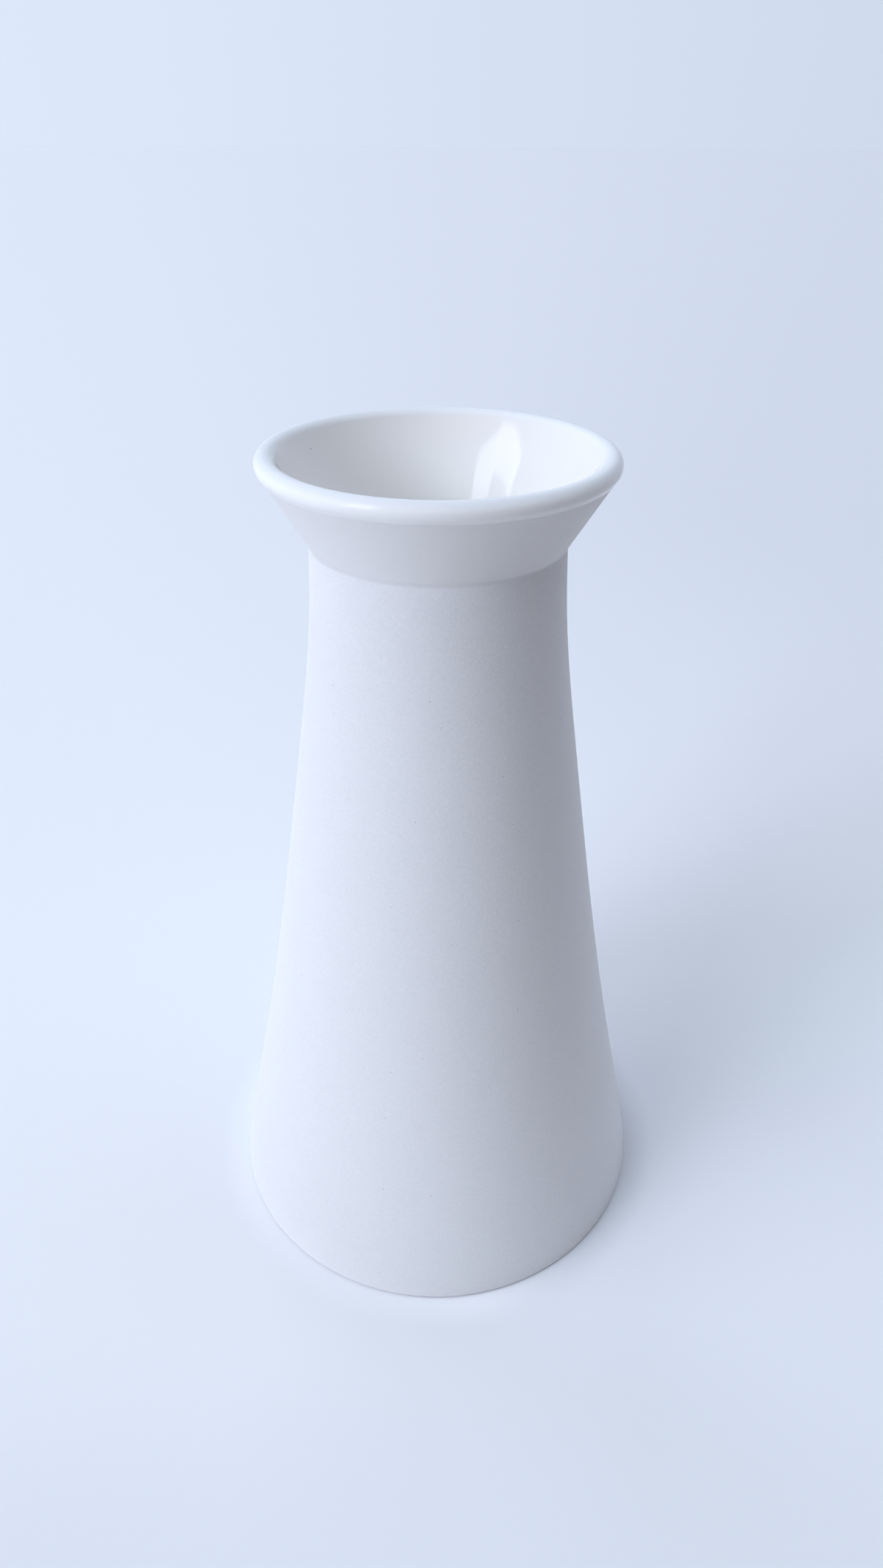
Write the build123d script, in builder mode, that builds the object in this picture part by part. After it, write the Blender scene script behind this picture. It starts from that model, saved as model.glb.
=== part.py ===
from build123d import *
from math import cos, radians, sin, tan
import os

# A small porcelain vase: a wide foot, a hollow body that draws in to a slim neck, and a flared
# mouth luted onto the neck. The clay is left bare and matt outside. A gloss glaze lines the inside
# and rolls over the lip, where it stops in a line under the rim. Z is up, and the origin is the
# centre of the foot, on the table. All sizes are in millimetres, and angles are in degrees.

# Body outline, from the table up to the seat of the mouth
body_height = 136.2
foot_diameter = 84.0
foot_taper = 10.4
skirt_height = 36.0
skirt_diameter = 69.4
waist_drop = 32.2
waist_diameter = 46.6
neck_band = 6.2
neck_taper = 2.8
neck_diameter = 40.0
body_wall = 3.4

# Floor and foot ring
floor_thickness = 4.5
foot_recess = 1.5
foot_ring_width = 7.0
foot_ease = 0.4
floor_round = 6.0

# Flared mouth
mouth_height = 13.8
flare_angle = 31.0
mouth_wall = 3.0
throat_round = 4.0
corner_round = 1.8
lip_outer_round = 1.35
lip_inner_round = 1.8

# Lapped seat between neck and mouth, with its layer of slip
spigot_depth = 3.0
lap_wall = 1.7
slip_thickness = 0.3

# Glaze inside and over the lip
glaze_thickness = 0.2
glaze_edge = 0.1
glaze_drop = 2.9

# Sizes that follow from these
foot_radius = foot_diameter / 2
ring_radius = foot_radius - foot_ring_width
skirt_radius = skirt_diameter / 2
waist_radius = waist_diameter / 2
neck_radius = neck_diameter / 2
flare_slope = tan(radians(flare_angle))
flare_tilt = cos(radians(flare_angle))
neck_slope = tan(radians(neck_taper))
total_height = body_height + mouth_height
floor_top = foot_recess + floor_thickness
band_height = body_height - neck_band
band_radius = neck_radius + neck_band * neck_slope
glaze_line = total_height - glaze_drop
beyond_height = total_height + mouth_height
beyond_radius = foot_diameter

# The lip's two roundings share the width of its top, most of it outside
lip_width = mouth_wall / flare_tilt
lip_outer_limit = 0.69 * lip_width / tan(radians(45 + flare_angle / 2))
lip_inner_limit = 0.30 * lip_width / tan(radians(45 - flare_angle / 2))


def leaning_in(taper):
    """Upward direction that leans towards the axis by the given angle."""
    return (-sin(radians(taper)), cos(radians(taper)))


def flank(inset):
    """Hollow curve of the flank, from the table to the neck band, drawn in by the given amount."""
    return Spline(
        (foot_radius - inset, 0),
        (skirt_radius - inset, skirt_height),
        (waist_radius - inset, body_height - waist_drop),
        (band_radius - inset, band_height),
        tangents=[leaning_in(foot_taper), leaning_in(neck_taper)],
    )


def flare_radius(height, stand_off):
    """Radius of the flare at a height, on a line that stands off from its outer face."""
    return neck_radius + (height - body_height) * flare_slope + stand_off / flare_tilt


def hollow(coat):
    """Section of the space inside the clay, drawn in by a coat of glaze."""
    inset = body_wall + coat
    depth = mouth_wall + coat
    bore = neck_radius - inset
    rise = (bore - flare_radius(body_height, -depth)) / (flare_slope + neck_slope)
    throat = (bore - rise * neck_slope, body_height + rise)
    mouth = (flare_radius(beyond_height, -depth), beyond_height)
    with BuildSketch() as section:
        with BuildLine():
            side = flank(inset)
            Polyline(side @ 1, throat, mouth, (0, beyond_height), (0, 0), side @ 0)
        make_face()
        Rectangle(beyond_radius, floor_top + coat, align=(Align.MIN, Align.MIN), mode=Mode.SUBTRACT)
        floor_corner = section.vertices().group_by(Axis.Y)[0].sort_by(Axis.X)[-1]
        fillet(floor_corner, floor_round - coat)
        fillet(section.vertices().sort_by_distance(throat)[0], throat_round + coat)
    return section.sketch_local


def wall(coat):
    """Section of the whole wall, bare when the coat is 0, or with the glaze inside and over its lip."""
    top = total_height - glaze_thickness + coat
    seat_corner = (neck_radius, body_height)
    line_start = (flare_radius(glaze_line, 0), glaze_line)
    line_edge = (flare_radius(glaze_line, glaze_edge), glaze_line)
    lip_outer = (flare_radius(top, coat), top)
    lip_inner = (flare_radius(top, -mouth_wall - coat), top)
    outside = [seat_corner, line_start, line_edge, lip_outer]
    if coat == 0:
        outside.remove(line_edge)
    recess_corner = (ring_radius - foot_recess, foot_recess)
    with BuildSketch() as section:
        with BuildLine():
            side = flank(0)
            Polyline(side @ 1, *outside, (0, top), (0, 0), side @ 0)
        make_face()
        add(hollow(coat), mode=Mode.SUBTRACT)
        with BuildLine():
            Polyline((0, 0), (ring_radius, 0), recess_corner, (0, foot_recess), close=True)
        make_face(mode=Mode.SUBTRACT)
        fillet(section.vertices().group_by(Axis.Y)[0], foot_ease)
        rounded_corners = {
            recess_corner: foot_ease,
            seat_corner: corner_round,
            lip_outer: min(lip_outer_round, lip_outer_limit) + coat,
            lip_inner: min(lip_inner_round, lip_inner_limit) + coat,
        }
        for corner, radius in rounded_corners.items():
            fillet(section.vertices().sort_by_distance(corner)[0], radius)
    return section.sketch_local


def above_seat(gap):
    """Section of the space over the stepped seat, held off it by a gap."""
    lap_radius = neck_radius - lap_wall - gap
    ledge = body_height - spigot_depth + gap
    shoulder = body_height + gap
    with BuildSketch() as section:
        with BuildLine():
            Polyline(
                (0, ledge),
                (lap_radius, ledge),
                (lap_radius, shoulder),
                (beyond_radius, shoulder),
                (beyond_radius, beyond_height),
                (0, beyond_height),
                close=True,
            )
        make_face()
    return section.sketch_local


bare_wall = wall(0)

# Body: foot, flank and neck in one, with a rebate in the top of the neck that seats the mouth
with BuildPart() as vase_body:
    with BuildSketch(Plane.XZ):
        add(bare_wall)
        add(above_seat(0), mode=Mode.SUBTRACT)
    revolve(axis=Axis.Z)

# Flared mouth: a cone with a rounded lip, and a spigot that drops into the neck's rebate
with BuildPart() as flared_mouth:
    with BuildSketch(Plane.XZ):
        add(bare_wall)
        add(above_seat(slip_thickness), mode=Mode.INTERSECT)
    revolve(axis=Axis.Z)

# Luting slip: the thin layer of liquid clay, fired hard, that fills the stepped seat
with BuildPart() as luting_slip:
    with BuildSketch(Plane.XZ):
        add(bare_wall)
        add(above_seat(0), mode=Mode.INTERSECT)
        add(above_seat(slip_thickness), mode=Mode.SUBTRACT)
    revolve(axis=Axis.Z)

# Glaze: one glassy coat over the floor, up the inside, over the lip and down to the glaze line
with BuildPart() as inner_glaze:
    with BuildSketch(Plane.XZ):
        add(wall(glaze_thickness))
        add(bare_wall, mode=Mode.SUBTRACT)
    revolve(axis=Axis.Z)

vase_body.part.label = "vase_body"
flared_mouth.part.label = "flared_mouth"
luting_slip.part.label = "luting_slip"
inner_glaze.part.label = "inner_glaze"

os.makedirs("parts", exist_ok=True)
export_step(vase_body.part, "parts/vase_body.step")
export_step(flared_mouth.part, "parts/flared_mouth.step")
export_step(luting_slip.part, "parts/luting_slip.step")
export_step(inner_glaze.part, "parts/inner_glaze.step")
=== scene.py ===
import math

import bpy
from mathutils import Matrix, Vector


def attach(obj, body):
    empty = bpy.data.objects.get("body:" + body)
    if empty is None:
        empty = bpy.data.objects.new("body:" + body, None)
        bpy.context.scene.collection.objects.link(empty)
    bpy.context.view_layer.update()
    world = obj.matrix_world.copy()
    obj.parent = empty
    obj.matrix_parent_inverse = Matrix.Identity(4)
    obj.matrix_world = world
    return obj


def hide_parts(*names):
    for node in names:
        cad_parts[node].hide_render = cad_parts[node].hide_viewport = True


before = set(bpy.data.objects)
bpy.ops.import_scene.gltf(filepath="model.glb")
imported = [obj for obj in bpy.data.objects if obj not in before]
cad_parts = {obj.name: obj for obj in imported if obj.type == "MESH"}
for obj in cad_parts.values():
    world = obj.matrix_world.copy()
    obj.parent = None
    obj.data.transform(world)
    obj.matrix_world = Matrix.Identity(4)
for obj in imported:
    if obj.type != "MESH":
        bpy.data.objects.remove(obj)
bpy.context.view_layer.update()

# Body: the foot, the hollow flank and the neck in one porcelain shell, cast in a plaster mould.
# Its outside is bare, sponged smooth before the firing, so it is matt with a fine even grain and a few
# iron specks. It stands on a ring turned under the foot. Every piece below is turned from its outline.
mm = 0.001
foot_radius = 42.0 * mm
foot_lean = math.radians(10.4)
skirt_height = 36.0 * mm
skirt_radius = 34.7 * mm
skirt_lean = math.radians(11.3)
waist_height = 104.0 * mm
waist_radius = 23.3 * mm
waist_lean = math.radians(8.7)
seat_height = 136.2 * mm
neck_radius = 20.0 * mm
neck_taper = math.radians(2.8)
neck_band = 6.2 * mm
flank_stations = [
    (0.0, foot_radius, foot_lean),
    (skirt_height, skirt_radius, skirt_lean),
    (waist_height, waist_radius, waist_lean),
    (seat_height - neck_band, neck_radius + neck_band * math.tan(neck_taper), neck_taper),
    (seat_height, neck_radius, neck_taper),
]
body_wall = 3.4 * mm
floor_top = 6.0 * mm
floor_round = 6.0 * mm
foot_recess = 1.5 * mm
foot_ease = 0.4 * mm
foot_edge = 0.7 * mm
ring_width = 7.0 * mm
ring_radius = foot_radius - ring_width
lap_wall = 1.7 * mm
rebate_radius = neck_radius - lap_wall
rebate_depth = 3.0 * mm
rebate_height = seat_height - rebate_depth
flare_angle = math.radians(31)
joint_round = 1.8 * mm
joint_steps = 6
joint_reach = joint_round * math.tan((flare_angle + neck_taper) / 2)
joint_start = seat_height - joint_reach * math.cos(neck_taper)
joint_end = seat_height + joint_reach * math.cos(flare_angle)
flank_step = 2.0 * mm
arc_step = math.radians(4)
hold = 0.03 * mm
turning_sides = 288
ripple_depth = 0.02 * mm
ripple_size = 17.0 * mm
wander_turn = 1 / 3.2
weld_distance = 0.001 * mm
crisp_angle = math.radians(38)
bisque_colour = (0.825, 0.84, 0.868, 1)
bisque_shade = (0.785, 0.80, 0.832, 1)
bisque_grain = 0.03 * mm
bisque_roughness = 0.62
grain_size = 0.42 * mm
grain_span = (0.3, 0.7)
cloud_size = 11.0 * mm
cloud_span = (0.35, 0.68)
cloud_share = 0.1
cloud_relief = 0.2
speck_colour = (0.30, 0.27, 0.26, 1)
speck_spacing = 3.4 * mm
speck_span = (0.018, 0.042)
speck_strength = 0.6
speck_pit = 0.2
# Glints are painted: pale dots in the base colour stand in for glints of light on the grain.
glint_colour = (0.95, 0.955, 0.96, 1)
glint_spacing = 0.9 * mm
glint_span = (0.05, 0.1)
glint_strength = 0.8
light_depth = 0.8 * mm


def flank_radius(height, inset=0.0):
    """Radius of the flank at a height: a cubic through the stations, leaning in as each one says."""
    spans = zip(flank_stations, flank_stations[1:])
    low, high = next(s for s in spans if height <= s[1][0] or s[1] is flank_stations[-1])
    rise = high[0] - low[0]
    t = (height - low[0]) / rise
    level = low[1] * (2 * t**3 - 3 * t**2 + 1) + high[1] * (3 * t**2 - 2 * t**3)
    lean = math.tan(low[2]) * (t**3 - 2 * t**2 + t) + math.tan(high[2]) * (t**3 - t**2)
    return level - rise * lean - inset


def flank(start, end, inset=0.0):
    """Corners along the flank between two heights, drawn in by an inset."""
    count = max(2, round(abs(end - start) / flank_step))
    heights = [start + (end - start) * i / count for i in range(count + 1)]
    return [(flank_radius(height, inset), height, 0) for height in heights]


def joint_radius(height):
    """Radius in the hollow rounding where the neck turns into the flare."""
    reach = joint_round / (1 + math.cos(flare_angle + neck_taper))
    centre_radius = neck_radius + reach * (math.cos(neck_taper) + math.cos(flare_angle))
    centre_height = seat_height + reach * (math.sin(neck_taper) - math.sin(flare_angle))
    return centre_radius - math.sqrt(joint_round**2 - (height - centre_height) ** 2)


def joint(start, end):
    """Corners along that rounding between two heights."""
    heights = [start + (end - start) * i / joint_steps for i in range(joint_steps + 1)]
    return [(joint_radius(height), height, 0) for height in heights]


def rounded(corners):
    """Points of an outline whose corners are (radius, height, rounding). Each rounding is held by a point
    close to each end, so that the straight stretches next to it keep their own shading."""
    points = []
    for i, (radius, height, rounding) in enumerate(corners):
        corner = Vector((radius, 0, height))
        if not rounding:
            points.append(corner)
            continue
        before = (Vector((corners[i - 1][0], 0, corners[i - 1][1])) - corner).normalized()
        after = (Vector((corners[i + 1][0], 0, corners[i + 1][1])) - corner).normalized()
        turn = math.pi - before.angle(after)
        reach = rounding * math.tan(turn / 2)
        centre = corner + (before + after).normalized() * rounding / math.cos(turn / 2)
        start = corner + before * reach - centre
        axis = start.cross(corner + after * reach - centre)
        steps = math.ceil(turn / arc_step)
        points.append(corner + before * (reach + hold))
        for k in range(steps + 1):
            points.append(centre + Matrix.Rotation(turn * k / steps, 3, axis) @ start)
        points.append(corner + after * (reach + hold))
    return points


class Field:
    """A socket in a node tree. Sums on fields add Math nodes, and node() adds any other node."""

    def __init__(self, tree, socket=None):
        self.tree = tree
        self.socket = socket

    def node(self, kind, settings=None, inputs=None, output=0):
        made = self.tree.nodes.new(kind)
        for name, value in (settings or {}).items():
            setattr(made, name, value)
        for name, value in (inputs or {}).items():
            socket = name
            if isinstance(name, str):
                socket = next(i for i, s in enumerate(made.inputs) if s.enabled and s.name == name)
            if isinstance(value, Field):
                self.tree.links.new(value.socket, made.inputs[socket])
            else:
                made.inputs[socket].default_value = value
        if isinstance(output, str):
            output = next(i for i, s in enumerate(made.outputs) if s.enabled and s.name == output)
        return Field(self.tree, made.outputs[output] if made.outputs else None)

    def sum(self, operation, *values):
        return self.node("ShaderNodeMath", {"operation": operation}, dict(enumerate(values)))

    def __add__(self, other):
        return self.sum("ADD", self, other)

    def __radd__(self, other):
        return self.sum("ADD", other, self)

    def __sub__(self, other):
        return self.sum("SUBTRACT", self, other)

    def __rsub__(self, other):
        return self.sum("SUBTRACT", other, self)

    def __mul__(self, other):
        return self.sum("MULTIPLY", self, other)

    def __rmul__(self, other):
        return self.sum("MULTIPLY", other, self)

    def __truediv__(self, other):
        return self.sum("DIVIDE", self, other)

    def __rtruediv__(self, other):
        return self.sum("DIVIDE", other, self)

    def between(self, low, high):
        """0 where the field is at low, 1 where it is at high, and smooth in between."""
        limits = {"Value": self, "From Min": low, "From Max": high}
        return self.node("ShaderNodeMapRange", {"interpolation_type": "SMOOTHSTEP"}, limits, "Result")


def noise(tree, place, size, detail, roughness):
    """Soft random pattern with patches of about the given size."""
    pattern = {"Vector": place, "Scale": 1 / size, "Detail": detail, "Roughness": roughness}
    return tree.node("ShaderNodeTexNoise", None, pattern)


def level(tree, place):
    """Place with its height taken out."""
    return tree.node("ShaderNodeVectorMath", {"operation": "MULTIPLY"}, {0: place, 1: (1.0, 1.0, 0.0)})


def turning_tree():
    """Turns an outline round the axis and lets the clay stand a little out of true."""
    tree = bpy.data.node_groups.new("turned_on_the_wheel", "GeometryNodeTree")
    sockets = {
        "Outline": "NodeSocketObject",
        "Sides": "NodeSocketInt",
        "Ripple depth": "NodeSocketFloat",
        "Ripple size": "NodeSocketFloat",
        "Edge height": "NodeSocketFloat",
        "Edge reach": "NodeSocketFloat",
        "Edge wander": "NodeSocketFloat",
        "Edge slope": "NodeSocketVector",
        "Finish": "NodeSocketMaterial",
    }
    for name, kind in sockets.items():
        tree.interface.new_socket(name, in_out="INPUT", socket_type=kind)
    tree.interface.new_socket("Geometry", in_out="OUTPUT", socket_type="NodeSocketGeometry")
    given = tree.nodes.new("NodeGroupInput")
    size = {name: Field(tree, given.outputs[name]) for name in sockets}
    build = Field(tree)

    drawn = build.node("GeometryNodeObjectInfo", None, {"Object": size["Outline"]}, "Geometry")
    wire = build.node("GeometryNodeCurveToMesh", None, {"Curve": drawn}, "Mesh")
    rows = build.node("GeometryNodeAttributeDomainSize", None, {"Geometry": wire}, "Point Count")
    sheet_size = {"Size X": 1.0, "Size Y": 1.0, "Vertices X": size["Sides"] + 1, "Vertices Y": rows}
    sheet = build.node("GeometryNodeMeshGrid", None, sheet_size, "Mesh")
    place = build.node("GeometryNodeInputPosition")
    across = build.node("ShaderNodeSeparateXYZ", None, {"Vector": place}, "X") + 0.5
    along = build.node("ShaderNodeSeparateXYZ", None, {"Vector": place}, "Y") + 0.5
    row = build.sum("ROUND", along * (rows - 1))
    sampled = {"Geometry": wire, "Value": place, "Index": row}
    section = build.node("GeometryNodeSampleIndex", {"data_type": "FLOAT_VECTOR"}, sampled, "Value")
    swing = {"Vector": section, "Axis": (0.0, 0.0, 1.0), "Angle": across * math.tau}
    turned_to = build.node("ShaderNodeVectorRotate", {"rotation_type": "AXIS_ANGLE"}, swing, "Vector")

    ripple = noise(build, turned_to, size["Ripple size"], 1.0, 0.4)
    outward = build.node("ShaderNodeVectorMath", {"operation": "NORMALIZE"}, {0: level(build, turned_to)})
    push = {0: outward, "Scale": -1 * ripple * size["Ripple depth"]}
    pushed = build.node("ShaderNodeVectorMath", {"operation": "SCALE"}, push)

    height = build.node("ShaderNodeSeparateXYZ", None, {"Vector": turned_to}, "Z")
    near_edge = 1 - build.sum("ABSOLUTE", height - size["Edge height"]).between(0.0, size["Edge reach"])
    wave = noise(build, outward, wander_turn, 2.0, 0.5) - 0.5
    slide = wave * near_edge * size["Edge wander"]
    slope_swing = {"Vector": size["Edge slope"], "Axis": (0.0, 0.0, 1.0), "Angle": across * math.tau}
    slope = build.node("ShaderNodeVectorRotate", {"rotation_type": "AXIS_ANGLE"}, slope_swing, "Vector")
    slid = build.node("ShaderNodeVectorMath", {"operation": "SCALE"}, {0: slope, "Scale": slide})

    moves = build.node("ShaderNodeVectorMath", {"operation": "ADD"}, {0: pushed, 1: slid})
    settled = build.node("ShaderNodeVectorMath", {"operation": "ADD"}, {0: turned_to, 1: moves})
    shell = build.node("GeometryNodeSetPosition", None, {"Geometry": sheet, "Position": settled})
    welded = build.node("GeometryNodeMergeByDistance", None, {"Geometry": shell, "Distance": weld_distance})
    smooth = build.node("GeometryNodeSetShadeSmooth", {"domain": "FACE"}, {"Geometry": welded})
    bend = build.node("GeometryNodeInputMeshEdgeAngle", None, None, "Unsigned Angle")
    crease = build.sum("GREATER_THAN", bend, crisp_angle)
    crisp = {"Geometry": smooth, "Selection": crease, "Shade Smooth": False}
    creased = build.node("GeometryNodeSetShadeSmooth", {"domain": "EDGE"}, crisp)
    realized = build.node("GeometryNodeRealizeInstances", None, {"Geometry": creased})
    finished = {"Geometry": realized, "Material": size["Finish"]}
    dressed = build.node("GeometryNodeSetMaterial", None, finished)
    result = tree.nodes.new("NodeGroupOutput")
    tree.links.new(dressed.socket, result.inputs["Geometry"])
    return tree


turning = turning_tree()


def turned(name, corners, finish, **changes):
    """A piece turned from an outline, as a plain mesh object in the shared frame."""
    points = rounded(corners)
    drawing = bpy.data.curves.new(name + "_outline", "CURVE")
    drawing.dimensions = "3D"
    line = drawing.splines.new("POLY")
    line.points.add(len(points) - 1)
    for spot, point in zip(line.points, points):
        spot.co = (*point, 1)
    outline = bpy.data.objects.new(name + "_outline", drawing)
    piece = bpy.data.objects.new(name, bpy.data.meshes.new(name))
    bpy.context.scene.collection.objects.link(outline)
    bpy.context.scene.collection.objects.link(piece)
    wheel = piece.modifiers.new("wheel", "NODES")
    wheel.node_group = turning
    sizes = {
        "Outline": outline,
        "Sides": turning_sides,
        "Ripple depth": ripple_depth,
        "Ripple size": ripple_size,
        "Finish": finish,
        **changes,
    }
    for socket in turning.interface.items_tree:
        if socket.in_out == "INPUT" and socket.name in sizes:
            wheel[socket.identifier] = sizes[socket.name]
    graph = bpy.context.evaluated_depsgraph_get()
    piece.data = bpy.data.meshes.new_from_object(piece.evaluated_get(graph), depsgraph=graph)
    piece.modifiers.clear()
    bpy.data.objects.remove(outline)
    return piece


def new_finish(name):
    """An empty material, and the field that adds its nodes."""
    material = bpy.data.materials.new(name)
    material.use_nodes = True
    material.node_tree.nodes.clear()
    return material, Field(material.node_tree)


def dots(tree, place, spacing, span):
    """1 at points scattered at a spacing, and 0 away from them. The span of each dot's edge is in shares
    of the spacing."""
    cells = {"Vector": place, "Scale": 1 / spacing, "Randomness": 1.0}
    apart = tree.node("ShaderNodeTexVoronoi", {"feature": "F1"}, cells, "Distance")
    return 1 - apart.between(*span)


def blend(tree, share, first, second):
    """One tone where the share is 0, and another where it is 1."""
    tones = {"Factor": share, "A": first, "B": second}
    return tree.node("ShaderNodeMix", {"data_type": "RGBA"}, tones, "Result")


def clay(name, grain_depth, roughness, pale, shade):
    """Bare fired porcelain: a fine grain, a faint cloud of two whites, painted glints and a few iron specks.
    """
    material, build = new_finish(name)
    place = build.node("ShaderNodeTexCoord", None, None, "Object")
    cloud = noise(build, place, cloud_size, 3.0, 0.55)
    grain = noise(build, place, grain_size, 2.0, 0.6)
    speck = dots(build, place, speck_spacing, speck_span)
    glint = dots(build, place, glint_spacing, glint_span)
    tone = cloud.between(*cloud_span) * cloud_share + grain.between(*grain_span) * (1 - cloud_share)
    white = blend(build, tone, shade, pale)
    glinting = blend(build, glint * glint_strength, white, glint_colour)
    colour = blend(build, speck * speck_strength, glinting, speck_colour)
    height = grain + cloud_relief * cloud - speck_pit * speck
    normal = build.node("ShaderNodeBump", None, {"Height": height, "Distance": grain_depth, "Strength": 1.0})
    surface = {
        "Base Color": colour,
        "Roughness": roughness + 0.10 * (grain - 0.5),
        "IOR": 1.45,
        "Specular IOR Level": 0.25,
        "Subsurface Weight": 0.2,
        "Subsurface Radius": (1.0, 0.9, 0.8),
        "Subsurface Scale": light_depth,
        "Normal": normal,
    }
    shader = build.node("ShaderNodeBsdfPrincipled", None, surface)
    build.node("ShaderNodeOutputMaterial", None, {"Surface": shader})
    return material


body_corners = [
    (0, foot_recess, 0),
    (ring_radius - foot_recess, foot_recess, foot_ease),
    (ring_radius, 0, foot_ease),
    (foot_radius, 0, foot_edge),
    *flank(flank_step, joint_start - hold),
    *joint(joint_start, seat_height),
    (rebate_radius, seat_height, 0),
    (rebate_radius, rebate_height, 0),
    *flank(rebate_height, floor_top + floor_round + flank_step, body_wall),
    (flank_radius(floor_top, body_wall), floor_top, floor_round),
    (0, floor_top, 0),
]
bisque = clay("matt_bisque", bisque_grain, bisque_roughness, bisque_colour, bisque_shade)
body = turned("cast_body", body_corners, bisque)
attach(body, "root")
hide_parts("vase_body")

# Luting slip: the thin layer of liquid clay that was brushed into the stepped seat of the neck.
# It was fired hard with both pieces, and only its edge shows, as a fine pale ring under the flare.
slip_thickness = 0.3 * mm
collar_height = seat_height + slip_thickness
spigot_radius = rebate_radius - slip_thickness
spigot_height = rebate_height + slip_thickness
slip_corners = [
    (flank_radius(rebate_height, body_wall), rebate_height, 0),
    (rebate_radius, rebate_height, 0),
    (rebate_radius, seat_height, 0),
    (joint_radius(seat_height), seat_height, 0),
    (joint_radius(collar_height), collar_height, 0),
    (spigot_radius, collar_height, 0),
    (spigot_radius, spigot_height, 0),
    (flank_radius(spigot_height, body_wall), spigot_height, 0),
    (flank_radius(rebate_height, body_wall), rebate_height, 0),
]
slip_colour = (0.868, 0.869, 0.885, 1)
slip_shade = (0.852, 0.853, 0.869, 1)
slip_grain = 0.006 * mm
slip_roughness = 0.55
fired_slip = clay("fired_slip", slip_grain, slip_roughness, slip_colour, slip_shade)
slip = turned("slip_layer", slip_corners, fired_slip)
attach(slip, "root")
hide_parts("luting_slip")

# Flared mouth: a short porcelain cone with a rounded lip, cast by itself and luted onto the neck.
# Its spigot drops into the rebate. It was smoothed on the wheel, so its bare outside is finer than the
# body's, and its upper edge is under the glaze.
mouth_wall = 3.0 * mm
rim_height = 150.0 * mm
glaze_thickness = 0.2 * mm
clay_rim_height = rim_height - glaze_thickness
throat_round = 4.0 * mm
lip_outer_round = 1.3 * mm
lip_inner_round = 1.75 * mm


def flare_radius(height, stand_off=0.0):
    """Radius of the flare at a height, on a line that stands off from its outer face."""
    slope = (height - seat_height) * math.tan(flare_angle)
    return neck_radius + slope + stand_off / math.cos(flare_angle)


def throat(coat=0.0):
    """Corner where the neck's bore meets the inside of the flare, under a coat of glaze."""
    bore = neck_radius - body_wall - coat
    gap = bore - flare_radius(seat_height, -mouth_wall - coat)
    rise = gap / (math.tan(flare_angle) + math.tan(neck_taper))
    return (bore - rise * math.tan(neck_taper), seat_height + rise, throat_round + coat)


mouth_corners = [
    (flank_radius(spigot_height, body_wall), spigot_height, 0),
    (spigot_radius, spigot_height, 0),
    (spigot_radius, collar_height, 0),
    *joint(collar_height, joint_end),
    (flare_radius(joint_end + hold), joint_end + hold, 0),
    (flare_radius(clay_rim_height), clay_rim_height, lip_outer_round),
    (flare_radius(clay_rim_height, -mouth_wall), clay_rim_height, lip_inner_round),
    throat(),
    (flank_radius(spigot_height, body_wall), spigot_height, 0),
]
fettled_grain = 0.005 * mm
fettled_roughness = 0.5
fettled = clay("fettled_bisque", fettled_grain, fettled_roughness, slip_colour, slip_shade)
mouth = turned("mouth_cone", mouth_corners, fettled)
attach(mouth, "root")
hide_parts("flared_mouth")

# Glaze: one clear glassy coat, poured in and out again, over the floor, up the inside and over the lip.
# It was wiped off under the rim, so it ends there in a fine step that wanders a little round the flare.
glaze_drop = 2.9 * mm
glaze_line = rim_height - glaze_drop
glaze_edge = 0.05 * mm
glazed_wall = body_wall + glaze_thickness
glazed_mouth = mouth_wall + glaze_thickness
edge_reach = 2.6 * mm
edge_wander = 0.5 * mm
glaze_corners = [
    (0, floor_top, 0),
    (flank_radius(floor_top, body_wall), floor_top, floor_round),
    *flank(floor_top + floor_round + flank_step, seat_height - flank_step, body_wall),
    throat(),
    (flare_radius(clay_rim_height, -mouth_wall), clay_rim_height, lip_inner_round),
    (flare_radius(clay_rim_height), clay_rim_height, lip_outer_round),
    (flare_radius(glaze_line), glaze_line, 0),
    (flare_radius(glaze_line, glaze_edge), glaze_line, glaze_edge / 2),
    (flare_radius(rim_height, glaze_thickness), rim_height, lip_outer_round + glaze_thickness),
    (flare_radius(rim_height, -glazed_mouth), rim_height, lip_inner_round + glaze_thickness),
    throat(glaze_thickness),
    *flank(seat_height - flank_step, floor_top + floor_round + flank_step, glazed_wall),
    (flank_radius(floor_top, glazed_wall), floor_top + glaze_thickness, floor_round - glaze_thickness),
    (0, floor_top + glaze_thickness, 0),
]
inside_colour = (0.85, 0.842, 0.835, 1)
# Painted light: a bluish tint on the lip's crest for light from the sky, and a brighter painted highlight on
# its roll.
painted_crest_tint = (0.80, 0.828, 0.87, 1)
painted_roll_highlight = (0.955, 0.97, 0.985, 1)
inside_radius = 23.5 * mm
crest_radius = 25.2 * mm
roll_radius = 25.8 * mm
roll_height = rim_height - 1.0 * mm
crest_height = rim_height - 0.1 * mm
run_size = 4.5 * mm
peel_size = 0.5 * mm
peel_relief = 0.25
glaze_relief = 0.004 * mm
glaze_speck_spacing = 4.6 * mm
glaze_speck_span = (0.02, 0.036)
glaze_speck_strength = 0.7
glaze_speck_pit = 2


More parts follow.
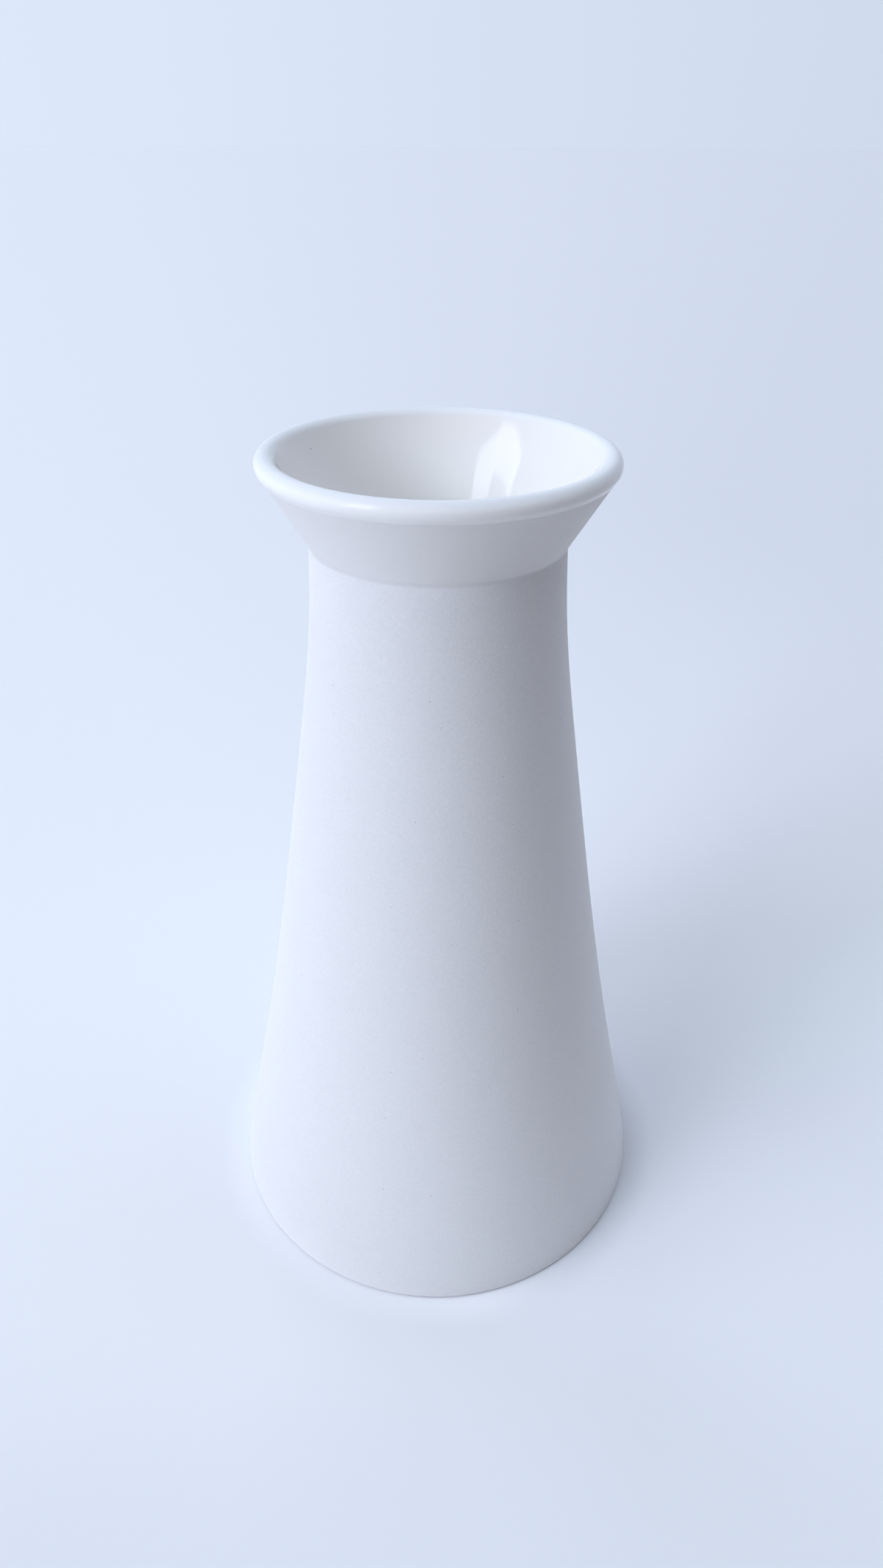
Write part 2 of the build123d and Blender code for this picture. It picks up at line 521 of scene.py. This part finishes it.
def glass_coat(name):
    """Clear glaze on white clay, warmer inside, with a bluish tint painted on the lip's crest and a painted
    highlight on its outer roll; a little wavy where it ran, with a fine peel and a few specks."""
    material, build = new_finish(name)
    place = build.node("ShaderNodeTexCoord", None, None, "Object")
    run = noise(build, place, run_size, 1.5, 0.45)
    peel = noise(build, place, peel_size, 1.0, 0.5)
    speck = dots(build, place, glaze_speck_spacing, glaze_speck_span)
    radius = build.node("ShaderNodeVectorMath", {"operation": "LENGTH"}, {0: level(build, place)}, "Value")
    height = build.node("ShaderNodeSeparateXYZ", None, {"Vector": place}, "Z")
    # Painted light: the outer roll is brightened and the crest tinted, by radius and height.
    roll_highlight_share = radius.between(crest_radius, roll_radius) * (1 - height.between(roll_height, crest_height))
    crest_tinted = blend(build, radius.between(inside_radius, crest_radius), inside_colour, painted_crest_tint)
    white = blend(build, roll_highlight_share, crest_tinted, painted_roll_highlight)
    colour = blend(build, speck * glaze_speck_strength, white, speck_colour)
    depth = run + peel_relief * peel - glaze_speck_pit * speck
    normal = build.node("ShaderNodeBump", None, {"Height": depth, "Distance": glaze_relief, "Strength": 1.0})
    surface = {
        "Base Color": colour,
        "Roughness": 0.02 + 0.03 * run,
        "IOR": 1.5,
        "Normal": normal,
    }
    shader = build.node("ShaderNodeBsdfPrincipled", None, surface)
    build.node("ShaderNodeOutputMaterial", None, {"Surface": shader})
    return material


gloss = glass_coat("gloss_glaze")
edge = {
    "Edge height": glaze_line,
    "Edge reach": edge_reach,
    "Edge wander": edge_wander,
    "Edge slope": (math.sin(flare_angle), 0.0, math.cos(flare_angle)),
}
glaze = turned("glaze_coat", glaze_corners, gloss, **edge)
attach(glaze, "root")
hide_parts("inner_glaze")

# Floor: a wide round sheet of pale card, far larger than the vase, so that its edge is never near.
# It isn't part of the vase. It takes the shadow; painted shade darkens it to the right, at the front and by
# the foot.
# It throws less light back up far from the vase, as a small table in a dim room would.
card_radius = 12.0
bearing_turn = (-0.6, 0.6)

# Tones of the card as it is seen, with painted shade: against the foot, near the vase, in front of it and
# far off
contact_left = (0.905, 0.925, 0.965, 1)
contact_right = (0.664, 0.684, 0.722, 1)
contact_turn = (0.15, 0.8)
contact_reach = (0.0415, 0.049)
near_left = (0.849, 0.869, 0.904, 1)
near_right = (0.785, 0.805, 0.848, 1)
card_front = (0.782, 0.802, 0.845, 1)
front_reach = (0.045, 0.09)
card_left = (0.849, 0.866, 0.916, 1)
card_right = (0.702, 0.723, 0.764, 1)
card_reach = (0.05, 0.5)

# Tones of the light that it throws back up: against the foot, near the vase, around it and far off
edge_bounce_left = (0.75, 0.75, 0.76, 1)
edge_bounce_right = (0.43, 0.43, 0.44, 1)
near_bounce_left = (0.45, 0.45, 0.46, 1)
near_bounce_right = (0.79, 0.80, 0.82, 1)
bounce_left = (0.893, 0.90, 0.92, 1)
bounce_right = (0.66, 0.60, 0.585, 1)
bounce_reach = (0.06, 0.25)
dim_bounce = (0.19, 0.19, 0.19, 1)
dim_reach = (0.2, 0.6)


def seen_straight(tree):
    """1 for rays that show the background itself: to the camera, in gloss and through glass."""
    path = ["Is Camera Ray", "Is Glossy Ray", "Is Transmission Ray"]
    camera, gloss, glass = [tree.node("ShaderNodeLightPath", None, None, ray) for ray in path]
    return tree.sum("MAXIMUM", camera, tree.sum("MAXIMUM", gloss, glass))


def by_bearing(tree, place, left, right, turn=bearing_turn):
    """Tone that goes from one at the left of the vase to one at its right."""
    bearing = tree.node("ShaderNodeVectorMath", {"operation": "NORMALIZE"}, {0: level(tree, place)})
    rightward = tree.node("ShaderNodeSeparateXYZ", None, {"Vector": bearing}, "X").between(*turn)
    return blend(tree, rightward, left, right)


card_finish, card_tree = new_finish("pale_card")
card_place = card_tree.node("ShaderNodeTexCoord", None, None, "Object")
away = card_tree.node("ShaderNodeVectorMath", {"operation": "LENGTH"}, {0: card_place}, "Value")
forward = -1 * card_tree.node("ShaderNodeSeparateXYZ", None, {"Vector": card_place}, "Y")
# Painted shade: a contact shadow in a ring against the foot on the right, and darker tones to the right and
# in front.
painted_contact_shadow = by_bearing(card_tree, card_place, contact_left, contact_right, contact_turn)
beside = by_bearing(card_tree, card_place, near_left, near_right)
far_card = by_bearing(card_tree, card_place, card_left, card_right)
open_card = blend(card_tree, forward.between(*front_reach), beside, card_front)
near_card = blend(card_tree, away.between(*contact_reach), painted_contact_shadow, open_card)
seen_card = blend(card_tree, away.between(*card_reach), near_card, far_card)
edge_bounce = by_bearing(card_tree, card_place, edge_bounce_left, edge_bounce_right)
near_bounce = by_bearing(card_tree, card_place, near_bounce_left, near_bounce_right)
far_bounce = by_bearing(card_tree, card_place, bounce_left, bounce_right)
close_bounce = blend(card_tree, away.between(*contact_reach), edge_bounce, near_bounce)
lit_bounce = blend(card_tree, away.between(*bounce_reach), close_bounce, far_bounce)
bounce = blend(card_tree, away.between(*dim_reach), lit_bounce, dim_bounce)
card_tone = blend(card_tree, seen_straight(card_tree), bounce, seen_card)
card_shader = card_tree.node("ShaderNodeBsdfDiffuse", None, {"Color": card_tone})
card_tree.node("ShaderNodeOutputMaterial", None, {"Surface": card_shader})
card = turned("card_sheet", [(card_radius, 0, 0), (0, 0, 0)], card_finish, **{"Ripple depth": 0.0})

# Light: soft daylight from the front left, sky above the back right and weaker light from the other
# sides, each too wide to draw an edge and kept out of the gloss. Two panes of a window show there.
# Each lamp has an azimuth, an elevation and a width in degrees, and a colour.
daylight = {
    "key": (-120, 25, 25, (0.77, 0.81, 1.00)),
    "low_key": (-120, 15, 60, (1.06, 0.93, 1.06)),
    "front": (-135, 25, 25, (0.53, 0.71, 0.72)),
    "side": (-90, 55, 25, (0.36, 0.42, 0.42)),
    "sky": (60, 65, 60, (1.27, 1.43, 1.64)),
    "lift": (-30, 15, 60, (1.17, 1.26, 1.47)),
    "fill": (150, 40, 60, (0.17, 0.11, 0.12)),
}
for name, (azimuth, elevation, spread, colour) in daylight.items():
    lamp = bpy.data.lights.new(name, "SUN")
    lamp.angle = math.radians(spread)
    lamp.energy = 1.0
    lamp.color = colour
    light = bpy.data.objects.new(name, lamp)
    bpy.context.scene.collection.objects.link(light)
    light.visible_glossy = False
    tilt = Matrix.Rotation(math.radians(90 - elevation), 4, "X")
    light.matrix_world = Matrix.Rotation(math.radians(180 - azimuth), 4, "Z") @ tilt

# Each pane's left, right, lower and upper edge, in shares of the window's distance
window_azimuth = math.radians(-140)
window_distance = 4.0
window_tilt = math.radians(2)
window_spans = {"tall_pane": (0.0, 0.345, 0.1, 0.975), "long_pane": (0.32, 0.95, 0.885, 0.975)}
window_radiance = 2.8
window_colour = (0.93, 0.98, 1.09)
towards = Vector((math.sin(window_azimuth), math.cos(window_azimuth), 0))
sideways = Vector((0, 0, 1)).cross(towards)
for name, (left, right, low, high) in window_spans.items():
    lamp = bpy.data.lights.new(name, "AREA")
    lamp.shape = "RECTANGLE"
    lamp.size = (right - left) * window_distance
    lamp.size_y = (high - low) * window_distance
    lamp.color = window_colour
    lamp.energy = window_radiance * math.pi * lamp.size * lamp.size_y
    pane = bpy.data.objects.new(name, lamp)
    bpy.context.scene.collection.objects.link(pane)
    pane.visible_camera = False
    pane.visible_diffuse = False
    middle = towards - sideways * (left + right) / 2 + Vector((0, 0, (low + high) / 2))
    turned_to_vase = Matrix((sideways, Vector((0, 0, 1)), towards)).transposed()
    tilted = Matrix.Rotation(window_tilt, 3, towards) @ turned_to_vase
    pane_place = Vector((0, 0, rim_height)) + middle * window_distance
    pane.matrix_world = Matrix.Translation(pane_place) @ tilted.to_4x4()

# The room has the tone of the open card, with its painted shade to the right, so that no line shows where
# they meet. The widest lamps reach under the horizon, so the card gets a little more light than their
# middles give.
horizon_gain = 1.025
card_light = [0.0, 0.0, 0.0, math.pi]
for azimuth, elevation, spread, colour in daylight.values():
    for i, strength in enumerate(colour):
        card_light[i] += strength * math.sin(math.radians(elevation))
backdrop_left = [tone * light * horizon_gain / math.pi for tone, light in zip(card_left, card_light)]
backdrop_right = [tone * light * horizon_gain / math.pi for tone, light in zip(card_right, card_light)]
room = bpy.data.worlds.new("pale_room")
bpy.context.scene.world = room
room.use_nodes = True
room.node_tree.nodes.clear()
room_tree = Field(room.node_tree)
room_place = room_tree.node("ShaderNodeTexCoord", None, None, "Generated")
backdrop = {
    "Color": by_bearing(room_tree, room_place, backdrop_left, backdrop_right),
    "Strength": seen_straight(room_tree),
}
room_light = room_tree.node("ShaderNodeBackground", None, backdrop)
room_tree.node("ShaderNodeOutputWorld", None, {"Surface": room_light})

# Camera: a phone held close above the front of the vase and tipped down at it, fitted to the outline.
# Its long side takes the width of the sensor, and it leans over by a tenth of a degree.
picture_height = 2131
focal_pixels = 1389.83
camera_place = (0, -0.15378, 0.18993)
camera_dip = math.radians(32.789)
camera_yaw = math.radians(-0.21)
camera_roll = math.radians(0.125)
view = bpy.data.cameras.new("view")
view.sensor_width = 36
view.lens = focal_pixels * view.sensor_width / picture_height
view.clip_start = 0.01
camera = bpy.data.objects.new("view", view)
bpy.context.scene.collection.objects.link(camera)
camera.matrix_world = (
    Matrix.Translation(camera_place)
    @ Matrix.Rotation(math.radians(90) - camera_dip, 4, "X")
    @ Matrix.Rotation(camera_yaw, 4, "Y")
    @ Matrix.Rotation(camera_roll, 4, "Z")
)
bpy.context.scene.camera = camera
bpy.context.scene.view_settings.view_transform = "Standard"
